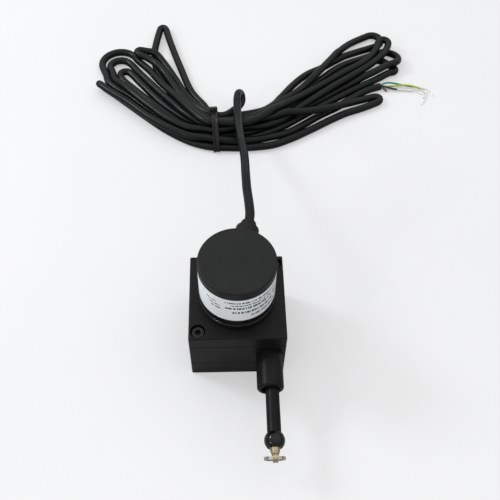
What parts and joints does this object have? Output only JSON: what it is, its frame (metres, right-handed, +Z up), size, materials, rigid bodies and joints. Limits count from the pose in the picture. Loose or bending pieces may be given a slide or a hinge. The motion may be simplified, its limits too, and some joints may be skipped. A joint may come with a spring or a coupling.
{
  "type": "draw wire encoder",
  "caption": "Draw wire encoder: square case with wire drum, nozzle and pull ring, round encoder on top, and a tied hank of cable with bare ends.",
  "frame": {"origin": "centre of the case's underside, on the drum's axis", "axes": "+Z up along the drum and encoder axis, -Y the way the wire is drawn out, +X the side of the nozzle"},
  "size_m": [0.2431, 0.3446, 0.0744],
  "materials": {
    "case_black": "black anodised aluminium, satin, fine machining",
    "nozzle_black": "black anodised aluminium, turned",
    "screw_black": "black oxide steel",
    "encoder_black": "black anodised aluminium, satin",
    "label_silver": "printed silver foil label",
    "cap_black": "matt black, fine grain",
    "steel": "ground steel",
    "spring_steel": "blued spring steel",
    "bush_brass": "turned bronze",
    "board_green": "green solder mask",
    "head_black": "moulded black",
    "gland_rubber": "moulded black rubber",
    "drum_alloy": "turned aluminium",
    "wire_steel": "stranded stainless steel rope",
    "disc_glass": "glass with a printed track",
    "sleeve_black": "black plastic tube",
    "ball_black": "polished black plastic",
    "ferrule_brass": "turned and nickel-tinted brass",
    "ring_chrome": "nickel-plated spring steel",
    "cable_pvc": "black PVC jacket, satin",
    "tie_nylon": "black nylon",
    "wire_cores": "green, yellow-green, white, black and brown insulated cores"
  },
  "bodies": {
    "housing": {"bottom_cover": "case_black", "main_housing": "case_black", "top_plate": "case_black", "top_screws": "screw_black", "cover_screws": "screw_black", "nozzle": "nozzle_black", "guide_bush": "bush_brass", "spring_plate": "steel", "power_spring": "spring_steel", "lower_bearing": "steel", "upper_bearing": "steel", "encoder_base": "encoder_black", "base_screws": "steel", "encoder_bearings": "steel", "encoder_shell": "encoder_black", "encoder_label": "label_silver", "encoder_cap": "cap_black", "board_posts": "steel", "circuit_board": "board_green", "read_head": "head_black", "cable_gland": "gland_rubber", "strain_relief": "gland_rubber", "cable_lead": "cable_pvc", "cable_hank": "cable_pvc", "zip_tie": "tie_nylon", "lead_wires": "wire_cores"},
    "drum": {"wire_drum": "drum_alloy", "wound_wire": "wire_steel", "drum_shaft": "steel", "spring_arbor": "drum_alloy", "encoder_hub": "steel", "code_disc": "disc_glass"},
    "wire_end": {"wire_rope": "wire_steel", "wire_sleeve": "sleeve_black", "stop_ball": "ball_black", "wire_ferrule": "ferrule_brass"},
    "ring": {"split_ring": "ring_chrome"}
  },
  "joints": [
    {"name": "wire_draw", "type": "slide", "parent": "housing", "child": "wire_end", "axis": [0, -1, 0], "range_m": [0, 1], "stiffness_N_per_m": 4, "springref_m": -1},
    {"name": "drum_spin", "type": "hinge", "parent": "housing", "child": "drum", "pos_m": [0, 0, 0.02175], "axis": [0, 0, 1], "range_deg": [-3516, 0]},
    {"name": "ring_swing", "type": "hinge", "parent": "wire_end", "child": "ring", "pos_m": [0.0171, -0.0792, 0.02175], "axis": [1, 0, 0], "range_deg": [-237, 33]}
  ],
  "couplings": [
    {"joint": "drum_spin", "follows": "wire_draw", "rad_per_m": -61.35}
  ]
}
